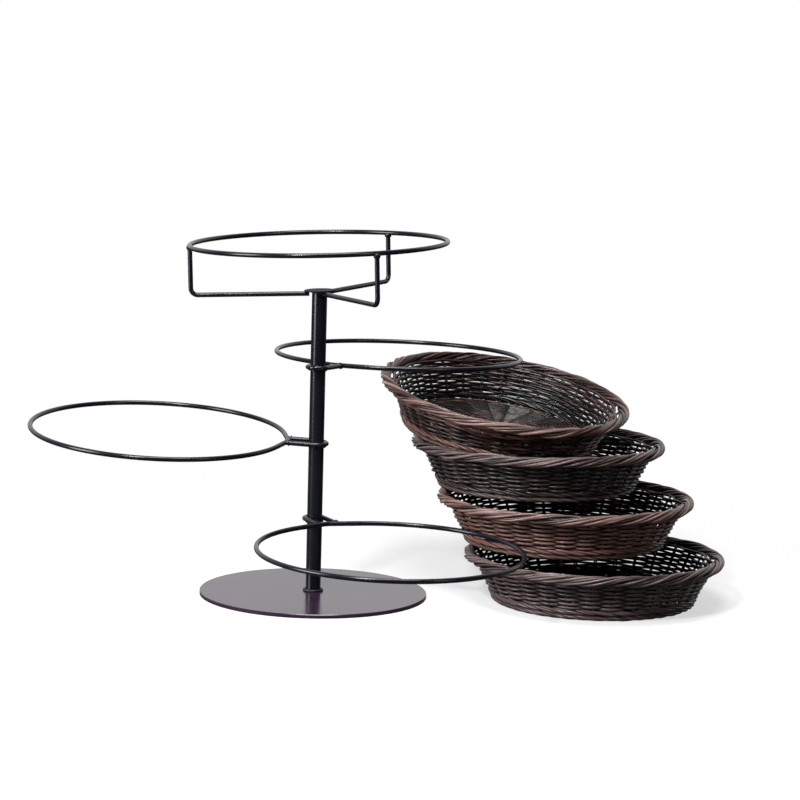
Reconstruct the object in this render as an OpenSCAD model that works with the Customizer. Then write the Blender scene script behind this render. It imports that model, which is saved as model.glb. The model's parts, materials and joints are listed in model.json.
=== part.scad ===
// Basket display stand: a round foot plate, a post, three rings on arms, a top ring on legs,
// and four round willow baskets stacked beside it.
// The origin is the middle of the foot plate's underside, +Z is up and -Y is the front.

/* [Foot plate and post] */
// Diameter of the foot plate
plate_d = 300; // [240:5:360]
// Thickness of the foot plate
plate_t = 5; // [3:0.5:10]
// Chamfer round the top edge of the foot plate
plate_edge = 0.6; // [0.2:0.1:1.2]
// Outer diameter of the post
post_d = 20; // [16:0.5:25]
// Wall of the post's tube
post_wall = 1.5; // [1:0.25:3]

/* [Rings and arms] */
// Diameter of the wire of the rings, arms and legs
wire_d = 6.3; // [5:0.1:8]
// Diameter of every ring, to the middle of the wire
ring_d = 336; // [310:2:370]
// Distance from the post's axis to the middle of a tier ring
ring_reach = 210; // [205:1:240]
// Angle on each side of a tier ring's weld over which its wire runs straight
nose_angle = 14.5; // [8:0.5:18]
// Radius at the tip of that straight run
nose_r = 25; // [18:1:35]
// Height of the low arm where it meets the post
low_tier_z = 102; // [98:1:106]
// Height by which the high ring clears the top basket
ring_over_basket = 7; // [6:0.5:30]
// Direction of the low, middle and high arm round the post, in degrees
tier_azimuths = [-61, 176, 60];
// Slope of each tier towards +X and towards +Y as welded, in degrees
tier_leans = [[-0.9, 1.2], [-2.4, 3.9], [-0.8, -0.3]];

/* [Top ring and legs] */
// Height of the top legs above the high arm
top_step = 97; // [80:1:130]
// Height of the top ring above the legs, middle to middle of the wire
top_ring_rise = 65.5; // [50:0.5:90]
// Inner bend radius of a leg
leg_bend_r = 6; // [4:0.5:12]
// Gap between the post and the inner end of a leg
leg_end_gap = 3.5; // [2:0.5:6]
// Diameter of the round plate over the post
hub_d = 40; // [34:1:60]
// Thickness of the round plate over the post
hub_t = 1.5; // [1:0.25:3]
// Slope of the whole top frame towards +X and towards +Y as welded, in degrees
top_lean = [2.3, 0.9];

/* [Baskets] */
// Outer diameter over a basket's border
basket_d = 346; // [320:2:380]
// Height of a basket
basket_h = 66; // [56:1:80]
// Thickness of the rope border
border_d = 15; // [12:0.5:18]
// Outer diameter of a basket at its foot
foot_d = 271.4; // [250:0.2:290]
// Thickness of the foot wale
wale_d = 8.4; // [7:0.2:10]
// Thickness of the woven wall, measured level
wall_t = 5; // [4:0.5:7]
// Amount by which the border stands out past the wall
border_out = 11.8; // [7.8:0.2:14.8]
// Amount by which the wall stands out past the foot wale
wall_out = 1.2; // [0.6:0.1:2]
// Thickness of the woven floor
floor_t = 4.5; // [3.5:0.25:6]
// Height of the woven floor above the ground
floor_lift = 1.2; // [0.5:0.1:2]
// Diameter of the sticks in the floor and of the stakes in the wall
stick_d = 3.6; // [3:0.1:3.7]
// Number of sticks in the floor
stick_count = 24; // [16:2:26]
// Diameter of the knot where the floor's sticks cross
knot_d = 36; // [32:1:50]
// Amount by which the knot is thicker than a stick
knot_over = 1.2; // [0.8:0.1:2]
// Number of stake pairs in the wall
stake_count = 32; // [24:2:40]
// Distance between the two stakes of a pair
stake_pair_gap = 3.9; // [3.8:0.1:6]
// Number of rows of gaps in the weave of the wall
weave_gap_rows = 5; // [3:1:6]
// Height of a gap in the weave
weave_gap_h = 2.2; // [1.4:0.2:3]
// Length of a gap in the weave
weave_gap_w = 13; // [8:1:15]

/* [Stack] */
// Direction from the low ring's middle to the lowest basket's middle, in degrees
stack_azimuth = 36; // [30:1:60]
// Amount by which the low ring laps over the lowest basket's border, seen from above
ring_lap = 11; // [4:1:13]
// Level shift of the second basket from the lowest one
second_step = [-37, 60];
// Level shift of the third basket from the second one
third_step = [-37, 52];
// Level shift of the top basket's foot from the third basket
top_step_xy = [-52.6, 50.7];
// Slope at which the top basket leans on the third one
top_basket_tilt = 11.4; // [6:0.2:14]
// Direction in which the top basket's floor rises
top_basket_rise = 131.3; // [120:0.1:140]
// Clearance between a basket and the one that it stands on
stack_gap = 0.3; // [0.2:0.1:0.6]

/* [Welds] */
// Size of the bead round the post's foot
foot_weld_h = 3.4; // [2:0.2:5]
// Height of the bead under the hub plate
hub_weld_h = 2.6; // [1.6:0.2:4]
// Radius of the bead where a leg meets the top ring
bead_r = 4.6; // [3.8:0.1:5.2]
// Half the thickness of the bead round the end of an arm
collar_r = 0.6; // [0.5:0.1:1.4]
// Radius of a tack between an arm's loop and the post
tack_r = 1.2; // [0.8:0.1:1.6]
// Angle round the post over which a tack runs
tack_sweep = 40; // [20:5:50]
// Clearance at welded and seated curved faces
weld_gap = 0.05; // [0.03:0.01:0.1]

/* [Hidden] */
$fn = 96;
post_r = post_d / 2;
wire_r = wire_d / 2;
ring_r = ring_d / 2;
hub_r = hub_d / 2;
plate_r = plate_d / 2;
// The arm's loop goes round the post
loop_gap = 0.15;
loop_r = post_r + loop_gap + wire_r;
// Straight pieces lap the bends by a hair, so that a bent wire comes out as one piece
lap = 1.2;
lap_step = 0.06;
// The nose of a tier ring, measured from the ring's middle
nose_centre = (ring_r - nose_r) / cos(nose_angle);
nose_run = (ring_r - nose_r) * tan(nose_angle);
// A basket, measured from the middle of its underside
border_r = border_d / 2;
border_ring_r = basket_d / 2 - border_r;
border_z = basket_h - border_r;
wale_r = wale_d / 2;
wale_ring_r = foot_d / 2 - wale_r;
seat_gap = 0.2;
wall_low_z = wale_d + seat_gap;
wall_low_r = foot_d / 2 + wall_out;
wall_top_r = basket_d / 2 - border_out;
wall_slope = (wall_top_r - wall_low_r) / (border_z - wall_low_z);
wall_angle = atan(wall_slope);
floor_r = wale_ring_r - wale_r - seat_gap;
floor_top = floor_lift + floor_t;
stick_r = stick_d / 2;
stick_gap = 0.1;
stick_z = floor_top + 2 * stick_gap + stick_r;
knot_t = stick_d + knot_over;
// Sticks start inside the knot and stop short of the floor's edge
stick_tuck = 2;
stick_end_gap = 3;
stick_low_r = knot_d / 2 - stick_tuck;
stick_end_r = floor_r - stick_end_gap;
// Stakes stand clear of the wall and the foot wale, and end inside the border's hollow
stake_gap = 0.15;
stake_foot_gap = 0.6;
stake_end_gap = 2;
stake_inset = (stick_r + stake_gap) / cos(wall_angle);
stake_low_z = wall_low_z + stick_r * sin(wall_angle) + stake_foot_gap;
stake_top_z = border_z - stake_end_gap;
// Where each basket stands
low_azimuth = tier_azimuths[0];
low_ring_xy = ring_reach * [cos(low_azimuth), sin(low_azimuth)];
stack_reach = ring_r + wire_r + basket_d / 2 - ring_lap;
first_xy = low_ring_xy + stack_reach * [cos(stack_azimuth), sin(stack_azimuth)];
second_xy = first_xy + second_step;
third_xy = second_xy + third_step;
top_xy = third_xy + top_step_xy;
third_z = 2 * (basket_h + stack_gap);
rise_dir = [cos(top_basket_rise), sin(top_basket_rise)];
// Points of a basket's foot, as radius and height, that may meet the border below
wall_foot_h = 10;
foot_edge = [
    for (t = [0:15:90]) [wale_ring_r + wale_r * sin(t), wale_r * (1 - cos(t))],
    [wall_low_r, wall_low_z],
    [wall_low_r + wall_foot_h * wall_slope, wall_low_z + wall_foot_h],
];
// Height of the third basket's border at a level distance from its axis
function border_top(d) = abs(d - border_ring_r) < border_r
    ? border_z + sqrt(pow(border_r, 2) - pow(d - border_ring_r, 2))
    : -1000;
// A point of the leaning basket from its foot's middle: [level shift along the rise, height]
function leaned(along, z) = [
    along * cos(top_basket_tilt) - z * sin(top_basket_tilt),
    along * sin(top_basket_tilt) + z * cos(top_basket_tilt),
];
// Lift that a point of the foot at angle a from the rise needs to clear the border below
function foot_lift(p, a) =
    let (q = leaned(p[0] * cos(a), p[1]), across = p[0] * sin(a))
    let (xy = top_step_xy + q[0] * rise_dir + across * [-rise_dir[1], rise_dir[0]])
    border_top(norm(xy)) - q[1];
top_lift = max([for (p = foot_edge) for (a = [0:2:358]) foot_lift(p, a)]) + stack_gap;
top_z = third_z + top_lift;
// The highest point of the stack sets the high arm, and the middle arm is halfway down
stack_top = top_z + border_ring_r * sin(top_basket_tilt)
    + border_z * cos(top_basket_tilt) + border_r;
high_tier_z = stack_top + wire_r + ring_over_basket;
tier_zs = [low_tier_z, (low_tier_z + high_tier_z) / 2, high_tier_z];
hub_z = high_tier_z + top_step;
// The legs stand under the top ring, and the post ends just under the leaning plate
leg_azimuths = [180, -62.5, 58];
leg_axis_bend = leg_bend_r + wire_r;
hub_weld_gap = 0.6;
top_slope = norm(top_lean);
post_top_z = hub_z + wire_r - post_r * sin(top_slope) - weld_gap;

steel = [0.08, 0.08, 0.09];
willow = [0.2, 0.12, 0.09];
dark_willow = [0.13, 0.08, 0.06];

// A closed ring of round section in the level plane
module wire_ring(radius, section_r) {
    rotate_extrude()
        translate([radius, 0])
            circle(r = section_r);
}

// An arc of round section from one angle over a sweep
module wire_arc(radius, section_r, from, sweep) {
    rotate([0, 0, from])
        rotate_extrude(angle = sweep)
            translate([radius, 0])
                circle(r = section_r);
}

// A straight wire along +X
module wire_run(length, section_r) {
    rotate([0, 90, 0])
        cylinder(r = section_r, h = length);
}

module base_plate() {
    color(steel)
        rotate_extrude()
            polygon([
                [0, 0],
                [plate_r, 0],
                [plate_r, plate_t - plate_edge],
                [plate_r - plate_edge, plate_t],
                [0, plate_t],
            ]);
}

// A bead with a hollow face, round the post on the foot plate
module foot_weld() {
    hollow_at = 1.5 * foot_weld_h;
    hollow_r = 1.35 * foot_weld_h;
    color(steel)
        rotate_extrude()
            translate([post_r + weld_gap, plate_t])
                difference() {
                    square(foot_weld_h);
                    translate([hollow_at, hollow_at])
                        circle(r = hollow_r);
                }
}

module post() {
    color(steel)
        translate([0, 0, plate_t])
            difference() {
                cylinder(r = post_r, h = post_top_z - plate_t);
                translate([0, 0, -1])
                    cylinder(r = post_r - post_wall, h = post_top_z - plate_t + 2);
            }
}

// Everything above the post leans as one welded frame
module in_top_frame() {
    translate([0, 0, hub_z])
        rotate([top_lean[1], -top_lean[0], 0])
            children();
}

module hub_plate() {
    color(steel)
        in_top_frame()
            translate([0, 0, wire_r])
                cylinder(r = hub_r, h = hub_t);
}

// A bead under the leaning hub plate, round the post's end and clear of the legs' ends
module hub_weld() {
    inner = post_r / cos(top_slope) + wire_r * tan(top_slope) + weld_gap;
    outer = post_r + leg_end_gap - hub_weld_gap;
    color(steel)
        in_top_frame()
            rotate_extrude()
                polygon([
                    [inner, wire_r],
                    [outer, wire_r],
                    [inner, wire_r - hub_weld_h],
                ]);
}

module top_ring_shape(section_r) {
    translate([0, 0, top_ring_rise])
        wire_ring(ring_r, section_r);
}

// The wire of one leg: out from the hub, round the bend and up to the ring
module leg_wire(section_r) {
    start = post_r + leg_end_gap;
    bend_x = ring_r - leg_axis_bend;
    translate([start, 0, 0])
        wire_run(bend_x - start, section_r);
    translate([bend_x, 0, leg_axis_bend])
        rotate([90, 0, 0])
            wire_arc(leg_axis_bend, section_r, -90, 90);
    translate([ring_r, 0, leg_axis_bend])
        cylinder(r = section_r, h = top_ring_rise - leg_axis_bend);
}

module top_leg(azimuth) {
    color(steel)
        in_top_frame()
            rotate([0, 0, azimuth])
                difference() {
                    leg_wire(wire_r);
                    top_ring_shape(wire_r + weld_gap);
                }
}

module top_ring() {
    color(steel)
        in_top_frame()
            top_ring_shape(wire_r);
}

// A bead where each leg meets the top ring
module top_ring_welds() {
    color(steel)
        in_top_frame()
            for (azimuth = leg_azimuths)
                rotate([0, 0, azimuth])
                    difference() {
                        translate([ring_r, 0, top_ring_rise - wire_r])
                            sphere(r = bead_r);
                        top_ring_shape(wire_r + weld_gap);
                        translate([ring_r, 0, top_ring_rise - 3 * wire_r])
                            cylinder(r = wire_r + weld_gap, h = 3 * wire_r);
                    }
}

// A tier in its own frame: the post at the origin and the ring towards +X
module in_tier(tier) {
    lean = tier_leans[tier];
    translate([0, 0, tier_zs[tier]])
        rotate([lean[1], -lean[0], 0])
            rotate([0, 0, tier_azimuths[tier]])
                children();
}

// A round ring whose wire runs straight to a blunt tip on the side of the post
module tier_ring_shape(section_r) {
    translate([ring_reach, 0, 0]) {
        wire_arc(ring_r, section_r, nose_angle - 180, 360 - 2 * nose_angle);
        translate([-nose_centre, 0, 0])
            wire_arc(nose_r, section_r, 180 - nose_angle, 2 * nose_angle);
        for (side = [1, -1])
            rotate([0, 0, side * (180 - nose_angle)])
                translate([ring_r, -side * lap, 0])
                    rotate([0, 0, side * 90])
                        wire_run(nose_run + 2 * lap, section_r + lap_step);
    }
}

module tier_ring(tier) {
    color(steel)
        in_tier(tier)
            tier_ring_shape(wire_r);
}

// Where an arm's leg meets the middle of the wire in the ring's nose
arm_meet_x = ring_reach - ring_r / cos(nose_angle) + loop_r * tan(nose_angle);

// The wire of an arm: a loop round the post with both ends running out to the ring
module arm_wire(section_r) {
    wire_arc(loop_r, section_r, 90, 180);
    for (side = [1, -1])
        translate([0, side * loop_r, 0])
            wire_run(arm_meet_x, section_r);
}

// The straight wire of the ring's nose where an arm's leg meets it
module nose_wire(side, section_r) {
    translate([arm_meet_x, side * loop_r, 0])
        rotate([0, 0, side * (90 - nose_angle)])
            translate([-2 * wire_d, 0, 0])
                wire_run(4 * wire_d, section_r);
}

module tier_arm(tier) {
    color(steel)
        in_tier(tier)
            difference() {
                arm_wire(wire_r);
                for (side = [1, -1])
                    nose_wire(side, wire_r + lap_step + weld_gap);
            }
}

// A bead goes round an arm's end, just short of the ring's wire
collar_ring_r = wire_r + weld_gap + collar_r;
collar_back = collar_ring_r * (1 / cos(nose_angle) + tan(nose_angle)) + weld_gap;

// A tack lies in the groove under the loop, clear of the post although the tier leans
function tack_ring_r(tier) = post_r + weld_gap + tack_r
    + (wire_r + 2 * tack_r) * sin(norm(tier_leans[tier]));
function tack_drop(tier) =
    sqrt(pow(wire_r + weld_gap + tack_r, 2) - pow(loop_r - tack_ring_r(tier), 2));

// Beads at the arm's two ends, and tacks under the loop against the post
module tier_welds(tier) {
    color(steel)
        in_tier(tier) {
            for (side = [1, -1])
                translate([arm_meet_x - collar_back, side * loop_r, 0])
                    rotate([0, 90, 0])
                        wire_ring(collar_ring_r, collar_r);
            for (turn = [100, 180, 260])
                translate([0, 0, -tack_drop(tier)])
                    wire_arc(tack_ring_r(tier), tack_r, turn - tack_sweep / 2, tack_sweep);
        }
}

// A basket in its own frame, with its underside on the ground round the origin
module in_basket(number) {
    if (number < 4) {
        translate([
            [first_xy, second_xy, third_xy][number - 1][0],
            [first_xy, second_xy, third_xy][number - 1][1],
            (number - 1) * (basket_h + stack_gap),
        ])
            children();
    } else {
        translate([top_xy[0], top_xy[1], top_z])
            rotate([0, 0, top_basket_rise])
                rotate([0, -top_basket_tilt, 0])
                    rotate([0, 0, -top_basket_rise])
                        children();
    }
}

module basket_floor(number) {
    color(dark_willow)
        in_basket(number)
            translate([0, 0, floor_lift])
                cylinder(r = floor_r, h = floor_t);
}

// Sticks that fan out from the knot in the middle of the floor
module basket_sticks(number) {
    color(willow)
        in_basket(number) {
            translate([0, 0, floor_top + stick_gap])
                cylinder(r = knot_d / 2, h = knot_t);
            for (i = [0:stick_count - 1])
                rotate([0, 0, i * 360 / stick_count])
                    translate([stick_low_r, 0, stick_z])
                        wire_run(stick_end_r - stick_low_r, stick_r);
        }
}

module basket_foot_wale(number) {
    color(willow)
        in_basket(number)
            translate([0, 0, wale_r])
                wire_ring(wale_ring_r, wale_r);
}

// The gaps in the weave, midway between stake pairs and one pair further on in every other row
module weave_gaps() {
    row_step = (border_z - border_r - wall_low_z) / weave_gap_rows;
    for (row = [0:weave_gap_rows - 1])
        for (pair = [row % 2:2:stake_count - 1])
            rotate([0, 0, (pair + 0.5) * 360 / stake_count])
                translate([
                    wall_low_r - 2 * wall_t,
                    -weave_gap_w / 2,
                    wall_low_z + (row + 0.5) * row_step - weave_gap_h / 2,
                ])
                    cube([wall_top_r - wall_low_r + 3 * wall_t, weave_gap_w, weave_gap_h]);
}

// The woven wall: a sloping shell that ends in the hollow under the border
module basket_wall(number) {
    color(dark_willow)
        in_basket(number)
            difference() {
                rotate_extrude()
                    difference() {
                        polygon([
                            [wall_low_r - wall_t, wall_low_z],
                            [wall_low_r, wall_low_z],
                            [wall_top_r, border_z],
                            [wall_top_r - wall_t, border_z],
                        ]);
                        translate([border_ring_r, border_z])
                            circle(r = border_r + seat_gap);
                    }
                weave_gaps();
            }
}

// Pairs of stakes that stand against the inside of the wall
module basket_stakes(number) {
    stake_low_r = wall_low_r - wall_t - stake_inset + (stake_low_z - wall_low_z) * wall_slope;
    stake_length = (stake_top_z - stake_low_z) / cos(wall_angle);
    color(willow)
        in_basket(number)
            for (i = [0:stake_count - 1])
                rotate([0, 0, i * 360 / stake_count])
                    for (side = [1, -1])
                        translate([stake_low_r, side * stake_pair_gap / 2, stake_low_z])
                            rotate([0, wall_angle, 0])
                                cylinder(r = stick_r, h = stake_length);
}

module basket_border(number) {
    color(willow)
        in_basket(number)
            translate([0, 0, border_z])
                wire_ring(border_ring_r, border_r);
}

base_plate();
foot_weld();
post();
hub_plate();
hub_weld();
top_leg(leg_azimuths[0]);  // top_leg_left
top_leg(leg_azimuths[1]);  // top_leg_front
top_leg(leg_azimuths[2]);  // top_leg_back
top_ring();
top_ring_welds();
tier_ring(0);  // tier_ring_low
tier_arm(0);  // tier_arm_low
tier_welds(0);  // tier_welds_low
tier_ring(1);  // tier_ring_middle
tier_arm(1);  // tier_arm_middle
tier_welds(1);  // tier_welds_middle
tier_ring(2);  // tier_ring_high
tier_arm(2);  // tier_arm_high
tier_welds(2);  // tier_welds_high
basket_floor(1);  // basket_1_floor
basket_sticks(1);  // basket_1_sticks
basket_foot_wale(1);  // basket_1_foot_wale
basket_wall(1);  // basket_1_wall
basket_stakes(1);  // basket_1_stakes
basket_border(1);  // basket_1_border
basket_floor(2);  // basket_2_floor
basket_sticks(2);  // basket_2_sticks
basket_foot_wale(2);  // basket_2_foot_wale
basket_wall(2);  // basket_2_wall
basket_stakes(2);  // basket_2_stakes
basket_border(2);  // basket_2_border
basket_floor(3);  // basket_3_floor
basket_sticks(3);  // basket_3_sticks
basket_foot_wale(3);  // basket_3_foot_wale
basket_wall(3);  // basket_3_wall
basket_stakes(3);  // basket_3_stakes
basket_border(3);  // basket_3_border
basket_floor(4);  // basket_4_floor
basket_sticks(4);  // basket_4_sticks
basket_foot_wale(4);  // basket_4_foot_wale
basket_wall(4);  // basket_4_wall
basket_stakes(4);  // basket_4_stakes
basket_border(4);  // basket_4_border
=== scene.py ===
"""Dresses the basket display stand: woven willow baskets, black coated steel, a pale studio."""
import json
import math

import bpy
import numpy as np
from mathutils import Matrix, Vector


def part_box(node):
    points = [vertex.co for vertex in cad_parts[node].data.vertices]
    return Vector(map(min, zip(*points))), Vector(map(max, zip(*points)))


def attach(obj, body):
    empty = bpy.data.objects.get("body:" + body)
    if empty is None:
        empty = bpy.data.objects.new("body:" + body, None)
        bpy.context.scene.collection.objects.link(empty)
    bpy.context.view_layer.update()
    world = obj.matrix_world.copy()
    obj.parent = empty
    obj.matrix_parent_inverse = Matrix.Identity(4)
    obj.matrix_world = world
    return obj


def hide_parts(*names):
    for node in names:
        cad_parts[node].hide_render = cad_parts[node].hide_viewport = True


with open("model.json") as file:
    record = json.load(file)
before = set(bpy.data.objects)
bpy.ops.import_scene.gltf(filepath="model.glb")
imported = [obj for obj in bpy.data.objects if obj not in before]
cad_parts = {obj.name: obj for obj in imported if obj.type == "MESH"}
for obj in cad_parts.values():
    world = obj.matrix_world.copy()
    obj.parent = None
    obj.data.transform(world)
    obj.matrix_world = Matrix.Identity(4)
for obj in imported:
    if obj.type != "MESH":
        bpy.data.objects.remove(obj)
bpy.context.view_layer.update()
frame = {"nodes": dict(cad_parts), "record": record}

MM = 0.001
TURN = 2 * math.pi
UP = np.array([0.0, 0.0, 1.0])

# Sizes of a basket, in millimetres, in its own frame: underside at z 0, axis at the origin.
# A rod_r is the radius of one rod, and a rope_r how far rods lie from the middle of their rope.
# Angles are in radians, and an angle round a rope is 0 on its outer side.
# A wander is a slow wobble round the basket, and a jitter one with its own value at each stake.
# A spread is the least and the most that a rod's radius is multiplied by.
# Tints run from 0 for the darkest willow to 1 for the lightest, and lie below 0 for painted deep shade.
# A wear and shade is the tint that a rod gains where it stands out, as worn willow is lighter, and
# loses where it lies deep, which is painted shade; a side shading is painted light on the outer side
# of the rod itself and painted shade on its inner side.
rod_tints = (0.0, 1.0)
rod_side_shading = 0.5
basket_seed = 40

# Wall: its low edge, slope and half its thickness, then its rows. A tuck is how far the end of
# a rod goes in behind a stake, or stands out where it is below 0, over a length in stake pairs.
# Each basket's weavers have a rod radius, a swing in and out, and a wear: lighter where they
# stand out, as worn willow is, and painted shade where they lie deep.
wall_low_z = 8.6
wall_low_r = 136.9
wall_slope = 0.487
wall_half = 4.85
wall_rows = 14
wall_row_low = 16.6
wall_row_pitch = 3.0
wall_row_dip = 0.2
wall_row_rods = 2
wall_row_overlap = 0.7
wall_wander_z = 0.3
wall_wander_r = 0.25
wall_jitter_z = 0.22
wall_jitter_swing = 0.09
wall_tucks = (1.3, 1.3, -1.6)
wall_tuck_length = 0.5
weaver_taper = (1.14, 0.84)
weaver_spread = (0.94, 1.06)
low_weaver = (1.86, 3.3, 1.3)
top_weaver = (1.92, 1.9, 0.0)
weavers = {1: low_weaver, 2: low_weaver, 3: low_weaver, 4: top_weaver}

# Stakes: points below the wall as height and radius, the lowest and highest in the wall,
# and points in the border as height, radius and how far the stake leans along it
stake_pairs = 32
stake_angle = TURN / stake_pairs
stake_r = 1.25
stake_spacing = 2.6
stake_foot = ((3.2, 116.0), (3.6, 124.0), (5.0, 129.5))
stake_wall_z = (9.0, 50.0)
stake_tip = ((54.0, 156.5, 0.012), (57.0, 160.5, 0.03))
stake_scatter = 0.002
stake_spread = (0.92, 1.06)
# The stakes' tints lie below 0: painted shade, for stakes that lie deep in the weave
stake_tints = (-0.8, 0.0)

# Wales: the rope round the foot, and the one on which the plain rows of the wall begin
wale_ring_r = 131.5
wale_z = 4.2
wale_rope_r = 2.0
wall_wale_z = 11.2
wall_wale_rope_r = 2.3
wall_wale_out = 1.2
wale_rod_r = 2.15
wale_rods = 4
wale_twists = 11
wale_wander_turn = 0.3
wale_wander_rope = 0.15
wale_waves = 9
wale_spread = (0.9, 1.05)
# The wale's wear: lighter where the rope stands out, as worn willow is, and painted shade on its inner
# side
wale_wear_and_shade = 0.6

# Border: a twist is the length that a rod takes for one turn of the rope, twists how many it makes.
# A rod starts a little past its stake, low on the inner side of the rope, and the two of a pair
# lie the pair's turn to either side of that. At each end, over the tail's share of a twist, a rod
# goes into the rope and gets thinner. The wear, for each millimetre that it stands out of the rope,
# makes it lighter there, as worn willow is, and darker where it goes into the rope, which is painted
# shade.
border_ring_r = 165.5
border_z = 58.5
border_rod_r = 1.95
border_rope_r = 5.1
border_twist = 150.0
border_twists = 1.1
border_start = 0.02
border_start_turn = -0.72 * math.pi
border_pair_turn = 0.38
border_tail = 0.12
border_tail_rope_r = 2.6
border_tail_share = 0.80
border_drift_turn = 0.2
border_wander_turn = 0.4
border_drift_rope = 0.5
border_wander_rope = 0.6
border_turn_waves = 10
border_rope_waves = 12
border_spread = (0.78, 1.1)
border_wear_and_shade = 0.25
border_core_r = 3.3
border_core_tint = 0.1

# Sticks: rods crossed in a square knot, six over six, which bend from its edge into spokes.
# Points lie closer together within the bend's reach than from the spokes' start outwards.
floor_z = 5.0
stick_ends = 24
stick_r = 1.75
stick_spread = (0.94, 1.04)
stick_taper = 0.12
stick_inset = 2.0
stick_rises = (-1.6, 1.9)
knot_half = 11.0
knot_edge = 3.0
bend_length = 22.0
bend_reach = 31.0
spoke_start = 34.0

# Weave of the floor: rings of thin willow, of which the first go round the knot in a wider swing
floor_edge_r = 127.0
floor_row_low = 19.0
floor_row_pitch = 2.9
floor_rise = 0.15
floor_weaver_r = 1.56
floor_swing = 1.9
floor_wander = 0.35
floor_spread = (0.93, 1.07)
# The floor's tints lie below 0, painted shade. Its wear is lighter over the sticks, as worn willow is, and
# painted shade under them; its side shading paints light on the tops of the rods and shade on their
# undersides.
floor_tints = (-1.2, -0.2)
floor_wear_and_shade = 0.7
floor_side_shading = 0.9
knot_rows = 3
knot_swing = 1.5 * floor_swing
knot_flat = 1.6
wave_flat = 1.2

# Weld round the foot of the post, in millimetres; its radius swells from the low share on each ripple
weld_r = 2.0
weld_out = 1.5
weld_up = 1.2
weld_low = 0.80
weld_ripple = 0.22
weld_ripples = 26
weld_tint = 0.5
weld_sides = 12

# Points along the rods: steps are from one stake pair or stick to the next, points over a stretch
wall_steps = 8
wale_steps = 12
core_steps = 6
floor_steps = 8
border_points = 44
stake_wall_points = 9
spoke_points = 12
bend_points = 21
weld_points = 288

# Willow: how many streaks and patches of stain a metre has, along and across the grain, their
# shares in the stain and the relief, and how far apart two rods lie in the grain, by their tints
streak_scale = (60.0, 900.0, 900.0)
streak_detail = 3.0
streak_roughness = 0.6
streak_share = 0.45
patch_scale = (28.0, 90.0, 90.0)
patch_detail = 2.0
patch_height = 0.6
tint_share = 0.34
stain_places = (0.37, 0.55, 0.77)
willow_ior = 1.48
willow_rough_range = 0.22
willow_bump = 0.35
willow_bump_depth = 0.0006
grain_shift_along = 977.0
grain_shift_across = 131.0

# Steel: the orange peel of its coat, and the clouds in its colour, with how many a metre has
peel_detail = 2.0
cloud_scale = 22.0
cloud_detail = 4.0
cloud_places = (0.3, 0.7)
steel_rough_range = 0.02
steel_bump = 0.05

# Studio, in metres and watts. The ground has a shade for bounced light, one for reflections and
# one for the camera, and turns plain white between the near and the far distance. A reflection
# finds the brightness mirror_front in front, and mirror_back where its direction's y is back_y.
ground_size = 30.0
ground_shades = (0.06, 0.05, 0.93)
ground_near = 0.30
ground_far = 1.2
ground_near_white = 0.55
ground_roughness = 0.8
ambient = 0.035
mirror_front = 0.02
mirror_back = 0.85
mirror_back_y = 0.55

# Lamps: their place, the point that they face, their width and height, and their power
lamp_target = (0.1, 0.0, 0.2)
lamps = {
    "top": ((0.1, -0.5, 2.5), lamp_target, (1.2, 1.0), 55.0),
    "key": ((-0.8, -2.2, 2.3), lamp_target, (0.4, 0.4), 74.0),
    "fill": ((1.9, -2.0, 1.5), lamp_target, (0.5, 0.8), 8.0),
    "strip": ((-1.8, -0.9, 0.8), (0.0, 0.0, 0.4), (0.8, 1.4), 42.0),
}

# Camera, fitted to the photo: metres, millimetres of lens, degrees
camera_place = (0.1085, -3.4245, 0.7293)
camera_lens = 118.545
camera_sensor = 36.0
camera_clip_end = 100.0
camera_down = 7.7603
camera_roll = 1.5342


def turns(n):
    """n angles, evenly round a full turn."""
    return np.arange(n) * TURN / n


def smooth(share):
    """A share from 0 to 1 that starts and ends softly."""
    return share * share * (3 - 2 * share)


def across(path, outward, closed):
    """Two unit vectors across a path at each of its points, the first as near outward as can be."""
    if closed:
        tangent = np.roll(path, -1, 0) - np.roll(path, 1, 0)
    else:
        tangent = np.gradient(path, axis=0)
    tangent /= np.linalg.norm(tangent, axis=1)[:, None]
    side = outward - (outward * tangent).sum(1)[:, None] * tangent
    side /= np.linalg.norm(side, axis=1)[:, None]
    return side, np.cross(tangent, side)


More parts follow.
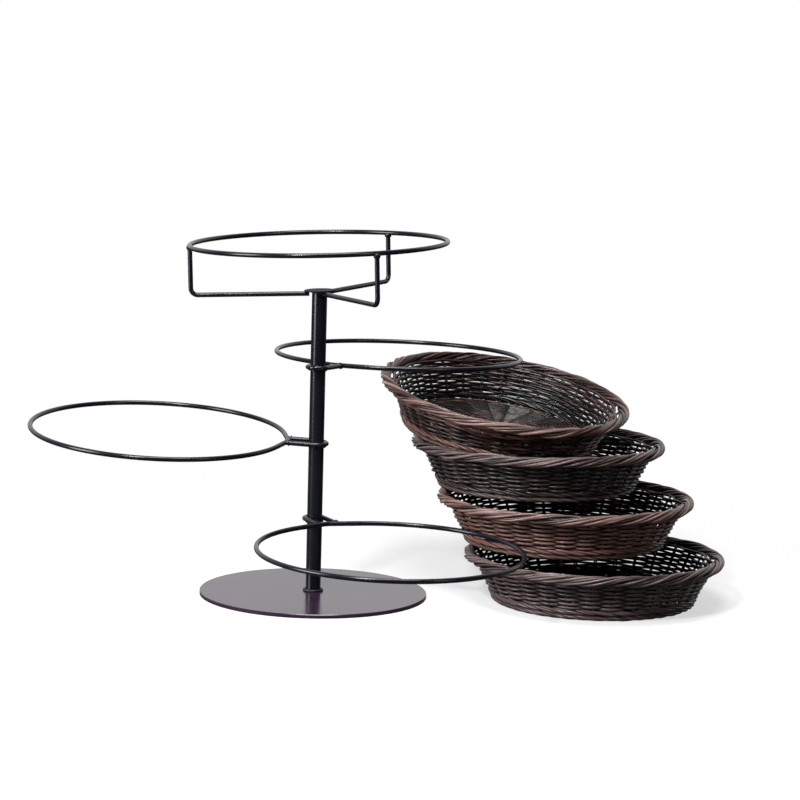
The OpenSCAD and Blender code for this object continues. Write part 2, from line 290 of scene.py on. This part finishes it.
class Rods:
    """Round rods gathered into one mesh, each with a tint and its own grain."""

    def __init__(self, sides):
        self.sides = sides
        self.points = []
        self.tints = []
        self.grains = []
        self.faces = []
        self.count = 0

    def add(self, path, radius, outward, tint, closed=False, wear=0.0, worn_side=0.0):
        """Adds a rod along n points; outward is one vector or n, radius and wear one number or n."""
        n = len(path)
        radius = np.broadcast_to(np.asarray(radius, float), (n,))
        wear = np.broadcast_to(np.asarray(wear, float), (n,))
        turn = turns(self.sides)
        side, other = across(path, outward, closed)
        ring = np.cos(turn)[None, :, None] * side[:, None] + np.sin(turn)[None, :, None] * other[:, None]
        points = path[:, None] + radius[:, None, None] * ring
        self.points.append(points.reshape(-1, 3))
        # The tint holds the rod's stain, its wear with painted shade where it lies deep, and painted light
        # and shade on the outer and inner side of the rod
        self.tints.append((tint + wear[:, None] + worn_side * np.cos(turn)).ravel())
        self.add_grain(path, radius, turn, tint)
        self.add_faces(n, closed)
        self.count += n * self.sides

    def add_grain(self, path, radius, turn, tint):
        """Gives the rod its places in the grain: length along it, and its round section."""
        steps = np.linalg.norm(np.diff(path, axis=0), axis=1)
        along = np.concatenate([[0], np.cumsum(steps)])
        grain = np.empty((len(path), self.sides, 3))
        grain[..., 0] = along[:, None] + grain_shift_along * tint
        grain[..., 1] = radius[:, None] * np.cos(turn)
        grain[..., 2] = radius[:, None] * np.sin(turn) + grain_shift_across * tint
        self.grains.append(grain.reshape(-1, 3))

    def add_faces(self, n, closed):
        """Joins the n rings of a rod, and caps its two ends where it isn't closed."""
        rings = np.arange(n * self.sides).reshape(n, self.sides) + self.count
        if closed:
            caps = []
            rings = np.concatenate([rings, rings[:1]])
        else:
            caps = [rings[0][::-1].tolist(), rings[-1].tolist()]
        low, high = rings[:-1], rings[1:]
        quads = np.stack([low, np.roll(low, -1, 1), np.roll(high, -1, 1), high], -1)
        self.faces.extend(quads.reshape(-1, 4).tolist())
        self.faces.extend(caps)

    def build(self, name, place, material):
        """Makes the object, with place as the matrix from the rods' own frame to the world."""
        matrix = np.array(place)
        points = np.concatenate(self.points) * MM
        points = points @ matrix[:3, :3].T + matrix[:3, 3]
        mesh = bpy.data.meshes.new(name)
        mesh.from_pydata(points.tolist(), [], self.faces)
        mesh.polygons.foreach_set("use_smooth", [True] * len(mesh.polygons))
        tint = mesh.attributes.new("tint", "FLOAT", "POINT")
        tint.data.foreach_set("value", np.concatenate(self.tints).astype(np.float32))
        grain = mesh.attributes.new("grain", "FLOAT_VECTOR", "POINT")
        grain.data.foreach_set("vector", (np.concatenate(self.grains) * MM).astype(np.float32).ravel())
        mesh.materials.append(material)
        mesh.update()
        obj = bpy.data.objects.new(name, mesh)
        bpy.context.scene.collection.objects.link(obj)
        return obj


def radial(theta):
    """Unit vectors that point away from the axis."""
    return np.stack([np.cos(theta), np.sin(theta), np.zeros_like(theta)], -1)


def polar(theta, r, z):
    """Points from angle, radius and height."""
    theta, r, z = np.broadcast_arrays(theta, r, z)
    return np.stack([r * np.cos(theta), r * np.sin(theta), z], -1).astype(float)


def round_rope(theta, turn, rope_r, ring_r, ring_z):
    """Points that wind about a ring, from the angle round the basket and the angle round the rope."""
    return polar(theta, ring_r + rope_r * np.cos(turn), ring_z + rope_r * np.sin(turn))


def wander(rng, theta, size, waves=5):
    """A slow closed wobble round the basket."""
    out = np.zeros_like(theta)
    for k in range(1, waves + 1):
        out += rng.normal() * np.sin(k * theta + rng.uniform(0, TURN)) / math.sqrt(k)
    return out * size / math.sqrt(waves)


def jitter(rng, place, size):
    """A short wobble with a value of its own at each stake; place counts the stake pairs."""
    knots = np.arange(math.floor(place[0]) - 1, math.ceil(place[-1]) + 2)
    return np.interp(place, knots, rng.normal(0, size, len(knots)))


def wall_mid(z):
    """Radius of the middle of the wall at a height."""
    return wall_low_r - wall_half + (z - wall_low_z) * wall_slope


def flat_wave(wave):
    """A wave with flat tops, as a rod makes that passes over and under sticks."""
    return np.tanh(wave_flat * wave) / math.tanh(wave_flat)


def weave_wall(rods, rng, weaver_r, weaver_swing, weaver_wear_and_shade):
    """Rows of willow, each over and under the stake pairs, from tapering rods laid end to end."""
    span = stake_pairs / wall_row_rods + wall_row_overlap
    run = np.linspace(0, span, int(span * wall_steps))
    near_end = np.clip(1 - np.minimum(run, run[::-1]) / wall_tuck_length, 0, 1)
    taper = np.linspace(*weaver_taper, len(run))
    for row in range(wall_rows):
        first = rng.integers(0, stake_pairs)
        for part in range(wall_row_rods):
            place = first + part * stake_pairs / wall_row_rods + run
            theta = place * stake_angle
            wave = np.cos(math.pi * (place + row))
            z = wall_row_low + row * wall_row_pitch - wall_row_dip * wave
            z = z + wander(rng, theta, wall_wander_z) + jitter(rng, place, wall_jitter_z)
            tuck = rng.choice(wall_tucks) * near_end
            swing = weaver_swing * (1 + jitter(rng, place, wall_jitter_swing))
            r = wall_mid(z) + swing * wave + wander(rng, theta, wall_wander_r) - tuck
            radius = weaver_r * taper * rng.uniform(*weaver_spread)
            # Outer bends lighter as worn willow is, inner bends painted shade; the rod's outer side
            # painted light, its inner side painted shade
            rods.add(polar(theta, r, z), radius, radial(theta), rng.uniform(*rod_tints),
                     wear=weaver_wear_and_shade * wave, worn_side=rod_side_shading)


def twist_rope(rods, rng, ring_r, ring_z, rope_r):
    """Rods twisted round the basket, falling to the right as seen from outside."""
    theta = turns(stake_pairs * wale_steps)
    for strand in turns(wale_rods):
        turn = strand - wale_twists * theta + wander(rng, theta, wale_wander_turn, wale_waves)
        rope = rope_r * (1 + wander(rng, theta, wale_wander_rope, wale_waves))
        path = round_rope(theta, turn, rope, ring_r, ring_z)
        radius = wale_rod_r * rng.uniform(*wale_spread)
        # Painted shade on the rope's inner side, and painted light and shade on each rod's outer and inner
        # side
        rods.add(path, radius, radial(theta), rng.uniform(*rod_tints), closed=True,
                 wear=wale_wear_and_shade * np.cos(turn), worn_side=rod_side_shading)


def twist_wale(rods, rng):
    """The wale round the basket's foot."""
    twist_rope(rods, rng, wale_ring_r, wale_z, wale_rope_r)


def twist_wall_wale(rods, rng):
    """A second wale, on which the plain rows of the wall begin."""
    twist_rope(rods, rng, wall_mid(wall_wale_z) + wall_wale_out, wall_wale_z, wall_wale_rope_r)


def stand_stakes(rods, rng):
    """Pairs of stakes from the floor's edge, up through the wall and into the border."""
    foot_z, foot_r = np.transpose(stake_foot)
    wall_z = np.linspace(*stake_wall_z, stake_wall_points)
    tip_z, tip_r, tip_lean = np.transpose(stake_tip)
    z = np.concatenate([foot_z, wall_z, tip_z])
    r = np.concatenate([foot_r, wall_mid(wall_z), tip_r])
    lean = np.concatenate([0 * foot_z, 0 * wall_z, tip_lean])
    for middle in turns(stake_pairs):
        for side in (-1, 1):
            shift = side * stake_spacing / 2 / r
            theta = middle + shift + lean + rng.normal() * stake_scatter
            radius = stake_r * rng.uniform(*stake_spread)
            # A tint below 0: painted shade
            rods.add(polar(theta, r, z), radius, radial(theta), rng.uniform(*stake_tints))


def roll_border(rods, rng):
    """The rope border: each stake pair runs on round the rim, twisting once over and under."""
    run = np.linspace(0, border_twists, border_points)
    inner = np.clip(np.minimum(run, border_twists - run) / border_tail, 0, 1)
    plain_rope = border_tail_rope_r + (border_rope_r - border_tail_rope_r) * inner
    taper = border_tail_share + (1 - border_tail_share) * inner
    for middle in turns(stake_pairs):
        theta = middle + run * border_twist / border_ring_r + border_start
        drift = rng.normal(0, border_drift_turn)
        for side in (-1, 1):
            turn = border_start_turn + TURN * run + side * border_pair_turn + drift
            turn = turn + wander(rng, theta, border_wander_turn, border_turn_waves)
            rope = plain_rope + rng.normal(0, border_drift_rope)
            rope = rope + wander(rng, theta, border_wander_rope, border_rope_waves)
            path = round_rope(theta, turn, rope, border_ring_r, border_z)
            radius = border_rod_r * taper * rng.uniform(*border_spread)
            # Lighter where a rod stands out of the rope, painted shade where it goes in, and painted light
            # and shade on its outer and inner side
            rods.add(path, radius, radial(theta), rng.uniform(*rod_tints),
                     wear=border_wear_and_shade * (rope - border_rope_r), worn_side=rod_side_shading)
    theta = turns(stake_pairs * core_steps)
    core = polar(theta, border_ring_r, border_z)
    rods.add(core, border_core_r, radial(theta), border_core_tint, closed=True)


def lay_sticks(rods, rng):
    """Twelve rods crossed in the middle, six over six, opened out like spokes."""
    each = stick_ends // 4
    fan = TURN / stick_ends
    spoke = np.linspace(spoke_start, floor_edge_r - stick_inset, spoke_points)
    run = np.concatenate([-spoke[::-1], np.linspace(-bend_reach, bend_reach, bend_points), spoke])
    reach = np.abs(run)
    bend = smooth(np.clip((reach - knot_half - knot_edge) / bend_length, 0, 1))
    taper = 1 - stick_taper * reach / floor_edge_r
    for crossed, rise in enumerate(stick_rises):
        for place in np.arange(each) - (each - 1) / 2:
            straight_y = place * 2 * knot_half / each
            x = np.copysign(reach * (1 - bend) + bend * reach * math.cos(place * fan), run)
            y = straight_y * (1 - bend) + bend * reach * math.sin(place * fan)
            z = floor_z + (1 - bend) * rise
            path = np.stack([-y, x, z] if crossed else [x, y, z], -1)
            radius = stick_r * rng.uniform(*stick_spread) * taper
            rods.add(path, radius, UP, rng.uniform(*rod_tints))


def weave_floor(rods, rng):
    """Rings of thin willow, first round the knot and then over and under every stick."""
    theta = turns(stick_ends * floor_steps)
    for row in range(int((floor_edge_r - floor_row_low) / floor_row_pitch)):
        if row < knot_rows:
            wave = flat_wave(knot_flat * np.cos(2 * theta))
            swing = knot_swing
        else:
            wave = flat_wave(np.cos(stick_ends / 2 * theta + math.pi * row))
            swing = floor_swing
        r = floor_row_low + row * floor_row_pitch + wander(rng, theta, floor_wander)
        path = polar(theta, r, floor_z + swing * wave + floor_rise)
        radius = floor_weaver_r * rng.uniform(*floor_spread)
        # Painted shade in the tint, under the sticks and on the rods' undersides; painted light on their
        # tops
        rods.add(path, radius, UP, rng.uniform(*floor_tints), closed=True,
                 wear=floor_wear_and_shade * wave, worn_side=floor_side_shading)


def rgb(*value):
    """A colour with full alpha."""
    return (*value, 1.0)


def grey(value):
    """A grey with full alpha."""
    return rgb(value, value, value)


class Shader:
    """A short way to wire up the nodes of a material or a world."""

    def __init__(self, owner):
        owner.use_nodes = True
        self.owner = owner
        self.tree = owner.node_tree
        self.tree.nodes.clear()

    def node(self, kind, inputs=None, **settings):
        """Adds a node; each input is another node's socket or a plain value."""
        node = self.tree.nodes.new(kind)
        for key, value in settings.items():
            setattr(node, key, value)
        for key, value in (inputs or {}).items():
            if isinstance(value, bpy.types.NodeSocket):
                self.tree.links.new(value, node.inputs[key])
            else:
                node.inputs[key].default_value = value
        return node

    def math(self, operation, a, b):
        """One operation on two sockets or numbers."""
        return self.node("ShaderNodeMath", {0: a, 1: b}, operation=operation).outputs[0]

    def vary(self, noise, middle, spread):
        """A value that noise moves up and down about its middle."""
        return self.math("ADD", self.math("MULTIPLY", noise, spread), middle - spread / 2)

    def attribute(self, name, output):
        """A value that the mesh carries at its points."""
        return self.node("ShaderNodeAttribute", attribute_name=name).outputs[output]

    def stretch(self, place, scale):
        """A place with its own scale on each axis."""
        return self.node("ShaderNodeMapping", {"Vector": place, "Scale": scale}).outputs[0]

    def noise(self, place, scale, detail, roughness=0.5):
        """Soft noise from 0 to 1."""
        inputs = {"Vector": place, "Scale": scale, "Detail": detail, "Roughness": roughness}
        return self.node("ShaderNodeTexNoise", inputs).outputs["Fac"]

    def ramp(self, factor, places, colours):
        """A ramp through colours, each at its place."""
        node = self.node("ShaderNodeValToRGB", {"Fac": factor})
        elements = node.color_ramp.elements
        while len(elements) < len(places):
            elements.new(0.5)
        for element, place, colour in zip(elements, places, colours):
            element.position = place
            element.color = colour
        return node.outputs["Color"]

    def soft_step(self, value, start, end, low, high):
        """A value that goes softly from low to high between start and end."""
        inputs = {"Value": value, "From Min": start, "From Max": end, "To Min": low, "To Max": high}
        return self.node("ShaderNodeMapRange", inputs, interpolation_type="SMOOTHSTEP").outputs[0]

    def glossy(self, colour, roughness, ior, height, strength, depth):
        """A glossy surface with a fine relief of a strength and a depth; ends the material."""
        bump = self.node("ShaderNodeBump", {"Height": height, "Strength": strength, "Distance": depth})
        principled = self.node("ShaderNodeBsdfPrincipled", {
            "Base Color": colour, "Roughness": roughness, "IOR": ior, "Normal": bump.outputs["Normal"]})
        return self.output("ShaderNodeOutputMaterial", principled.outputs[0])

    def output(self, kind, surface):
        """Adds the last node and gives back the material or world."""
        self.node(kind, {"Surface": surface})
        return self.owner


def willow_material(name, rough, dark, mid, light):
    """Stained willow: streaks along the rod, a different stain on each rod, a thin lacquer, and the
    painted shade and light that the rods' tints carry.
    """
    shader = Shader(bpy.data.materials.new(name))
    tint = shader.attribute("tint", "Fac")
    grain = shader.attribute("grain", "Vector")
    streak = shader.noise(shader.stretch(grain, streak_scale), 1.0, streak_detail, streak_roughness)
    patch = shader.noise(shader.stretch(grain, patch_scale), 1.0, patch_detail)
    streaks = shader.math("MULTIPLY", streak, streak_share)
    patches = shader.math("MULTIPLY", patch, 1 - streak_share)
    rod_stain = shader.math("MULTIPLY", shader.math("SUBTRACT", tint, 0.5), tint_share)
    stain = shader.math("ADD", shader.math("ADD", streaks, patches), rod_stain)
    colour = shader.ramp(stain, stain_places, (dark, mid, light))
    height = shader.math("ADD", streak, shader.math("MULTIPLY", patch, patch_height))
    roughness = shader.vary(streak, rough, willow_rough_range)
    return shader.glossy(colour, roughness, willow_ior, height, willow_bump, willow_bump_depth)


def steel_material(name, rough, deep, thin, ior, peel_scale, peel_depth):
    """Black powder coat over steel, with a fine orange peel."""
    shader = Shader(bpy.data.materials.new(name))
    place = shader.node("ShaderNodeTexCoord").outputs["Object"]
    peel = shader.noise(place, peel_scale, peel_detail)
    cloud = shader.noise(place, cloud_scale, cloud_detail)
    colour = shader.ramp(cloud, cloud_places, (deep, thin))
    roughness = shader.vary(cloud, rough, steel_rough_range)
    return shader.glossy(colour, roughness, ior, peel, steel_bump, peel_depth)


def basket_place(number):
    """The matrix of a basket, from where its border and foot wale lie in the frame."""
    low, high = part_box(f"basket_{number}_border")
    top = (low + high) / 2
    low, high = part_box(f"basket_{number}_foot_wale")
    foot = (low + high) / 2
    axis = (top - foot).normalized()
    turn = Vector((0, 0, 1)).rotation_difference(axis)
    return Matrix.Translation(foot - axis * wale_z * MM) @ turn.to_matrix().to_4x4()


def dress_basket(number, border_look, rods_look, weave_look):
    """Weaves one basket and puts it in place of its CAD solids."""
    rng = np.random.default_rng(basket_seed + number)
    spin = Matrix.Rotation(rng.uniform(0, TURN), 4, "Z")
    place = basket_place(number) @ spin

    def wall(rods, rng):
        """The rows of the wall, and the wale that they begin on."""
        weave_wall(rods, rng, *weavers[number])
        twist_wall_wale(rods, rng)

    # Part, what makes it, look, slot, and the sides that its rods have
    pieces = (
        ("floor", weave_floor, weave_look, "weave", 6),
        ("sticks", lay_sticks, rods_look, "rods", 8),
        ("foot_wale", twist_wale, rods_look, "rods", 8),
        ("wall", wall, weave_look, "weave", 8),
        ("stakes", stand_stakes, border_look, "rods", 8),
        ("border", roll_border, border_look, "rods", 10),
    )
    for part, maker, look, slot, sides in pieces:
        rods = Rods(sides)
        maker(rods, rng)
        obj = rods.build(f"woven_{number}_{part}", place, look)
        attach(obj, f"basket_{number}")
        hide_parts(f"basket_{number}_{part}")


def weld_bead(name, path, outward, material, node):
    """A closed weld bead with ripples, along a path in millimetres."""
    wave = np.abs(np.sin(turns(len(path)) * weld_ripples / 2))
    rods = Rods(weld_sides)
    rods.add(path, weld_r * (weld_low + weld_ripple * wave), outward, weld_tint, closed=True)
    obj = rods.build(name, Matrix.Identity(4), material)
    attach(obj, "stand")
    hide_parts(node)


# Looks of the steel
wire_look = steel_material(
    "black_coat_wire", rough=0.22, ior=1.45, peel_scale=1600.0, peel_depth=0.000005,
    deep=rgb(0.003, 0.003, 0.006), thin=rgb(0.005, 0.006, 0.011))
# The plate's base colour is dark purple, lighter than the wires' coat: a painted reflection that gives its
# sheen a purple tint
plate_look = steel_material(
    "black_coat_plate", rough=0.20, ior=1.62, peel_scale=900.0, peel_depth=0.00002,
    deep=rgb(0.022, 0.009, 0.024), thin=rgb(0.030, 0.014, 0.033))
hub_look = steel_material(
    "black_coat_hub", rough=0.60, ior=1.25, peel_scale=1600.0, peel_depth=0.00002,
    deep=rgb(0.003, 0.003, 0.005), thin=rgb(0.006, 0.007, 0.010))

# Looks of the willow: two stains, the border looks lighter than the rest of their stain, which is painted
# light where the light from above falls, and a darker weave for the wall that lies in the deepest shade,
# which is painted shade
warm_border = willow_material(
    "willow_border_warm", rough=0.32,
    dark=rgb(0.012, 0.005, 0.004), mid=rgb(0.064, 0.032, 0.027), light=rgb(0.250, 0.150, 0.132))
warm_rods = willow_material(
    "willow_rods_warm", rough=0.32,
    dark=rgb(0.005, 0.0025, 0.002), mid=rgb(0.040, 0.020, 0.016), light=rgb(0.130, 0.072, 0.060))
warm_weave = willow_material(
    "willow_weave_warm", rough=0.32,
    dark=rgb(0.002, 0.001, 0.001), mid=rgb(0.018, 0.0080, 0.0064), light=rgb(0.190, 0.092, 0.074))
cool_border = willow_material(
    "willow_border_cool", rough=0.32,
    dark=rgb(0.007, 0.004, 0.0035), mid=rgb(0.042, 0.026, 0.025), light=rgb(0.150, 0.104, 0.100))
cool_rods = willow_material(
    "willow_rods_cool", rough=0.32,
    dark=rgb(0.003, 0.002, 0.0018), mid=rgb(0.020, 0.012, 0.012), light=rgb(0.090, 0.060, 0.057))
cool_weave = willow_material(
    "willow_weave_cool", rough=0.30,
    dark=rgb(0.0015, 0.001, 0.001), mid=rgb(0.009, 0.0057, 0.0058), light=rgb(0.105, 0.071, 0.072))
shaded_weave = willow_material(
    "willow_weave_shaded", rough=0.30,
    dark=rgb(0.0015, 0.001, 0.001), mid=rgb(0.005, 0.0032, 0.0033), light=rgb(0.040, 0.027, 0.028))

# Stand
for node_name in frame["record"]["behaviour"]["bodies"]["stand"]:
    obj = frame["nodes"][node_name]
    obj.data.materials.clear()
    obj.data.materials.append({"base_plate": plate_look, "hub_plate": hub_look}.get(node_name, wire_look))

# Baskets, from the lowest up
dress_basket(1, cool_border, cool_rods, cool_weave)
dress_basket(2, warm_border, warm_rods, warm_weave)
# The third basket's wall gets the shaded weave: painted shade
dress_basket(3, cool_border, cool_rods, shaded_weave)
dress_basket(4, warm_border, warm_rods, warm_weave)

# Weld round the foot of the post
post_low, post_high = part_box("post")
post_r = (post_high.x - post_low.x) / 2 / MM
weld_turn = turns(weld_points)
weld_path = polar(weld_turn, post_r + weld_out, post_low.z / MM + weld_up)
weld_bead("bead_foot", weld_path, radial(weld_turn), wire_look, "foot_weld")


# Studio
def ground_material():
    """Pale near the object, and plain white further out, so that it has no edge."""
    shader = Shader(bpy.data.materials.new("studio_floor"))
    ray = shader.node("ShaderNodeLightPath").outputs
    place = shader.node("ShaderNodeNewGeometry").outputs["Position"]
    away = shader.node("ShaderNodeVectorMath", {0: place}, operation="LENGTH").outputs["Value"]
    fade = shader.soft_step(away, ground_near, ground_far, ground_near_white, 1.0)
    # 0 for bounced light, a half for reflections, 1 for the camera
    kind = shader.math("ADD", ray["Is Camera Ray"], shader.math("MULTIPLY", ray["Is Glossy Ray"], 0.5))
    shade = shader.ramp(kind, (0.0, 0.5, 1.0), [grey(value) for value in ground_shades])
    pale = shader.node("ShaderNodeBsdfPrincipled", {"Base Color": shade, "Roughness": ground_roughness})
    white = shader.node("ShaderNodeEmission", {"Color": grey(1.0), "Strength": 1.0})
    share = shader.math("MULTIPLY", fade, ray["Is Camera Ray"])
    mix = shader.node("ShaderNodeMixShader", {0: share, 1: pale.outputs[0], 2: white.outputs[0]})
    return shader.output("ShaderNodeOutputMaterial", mix.outputs[0])


def studio_world():
    """White where it is seen, dim as light, and in reflections dark in front and bright behind."""
    shader = Shader(bpy.data.worlds.new("studio_world"))
    ray = shader.node("ShaderNodeLightPath").outputs
    toward = shader.node("ShaderNodeTexCoord").outputs["Generated"]
    toward_y = shader.node("ShaderNodeSeparateXYZ", {0: toward}).outputs["Y"]
    mirrored = shader.soft_step(toward_y, 0.0, mirror_back_y, mirror_front, mirror_back)
    seen = shader.math("MAXIMUM", ray["Is Camera Ray"], ray["Is Transmission Ray"])
    dim = shader.node("ShaderNodeMix", {"Factor": ray["Is Glossy Ray"], "A": ambient, "B": mirrored})
    strength = shader.node("ShaderNodeMix", {"Factor": seen, "A": dim.outputs[0], "B": 1.0})
    background = shader.node("ShaderNodeBackground", {"Color": grey(1.0), "Strength": strength.outputs[0]})
    return shader.output("ShaderNodeOutputWorld", background.outputs[0])


def area_light(name, place, target, size, power):
    """A soft lamp that faces a point; size is its width and height."""
    data = bpy.data.lights.new(name, "AREA")
    data.shape = "RECTANGLE"
    data.size, data.size_y = size
    data.energy = power
    obj = bpy.data.objects.new(name, data)
    bpy.context.scene.collection.objects.link(obj)
    obj.location = place
    obj.rotation_euler = (Vector(target) - Vector(place)).to_track_quat("-Z", "Y").to_euler()


def photo_camera():
    """The photo's camera: in front of the stand, above its top ring, looking a little down."""
    down = math.radians(camera_down)
    roll = math.radians(camera_roll)
    forward = Vector((0, math.cos(down), -math.sin(down)))
    up = Vector((0, math.sin(down), math.cos(down)))
    right = Vector((1, 0, 0))
    rolled_right = right * math.cos(roll) + up * math.sin(roll)
    rolled_up = up * math.cos(roll) - right * math.sin(roll)
    data = bpy.data.cameras.new("camera")
    data.lens = camera_lens
    data.sensor_width = camera_sensor
    data.clip_end = camera_clip_end
    camera = bpy.data.objects.new("camera", data)
    bpy.context.scene.collection.objects.link(camera)
    axes = Matrix((rolled_right, rolled_up, -forward)).transposed().to_4x4()
    camera.matrix_world = Matrix.Translation(camera_place) @ axes
    return camera


# Floor, world, lamps and camera
bpy.ops.mesh.primitive_plane_add(size=ground_size, location=(0, 0, 0))
floor = bpy.context.object
floor.name = "studio_floor"
floor.data.materials.append(ground_material())

bpy.context.scene.world = studio_world()
for lamp_name, lamp in lamps.items():
    area_light(lamp_name, *lamp)

bpy.context.scene.camera = photo_camera()
bpy.context.scene.view_settings.view_transform = "Standard"
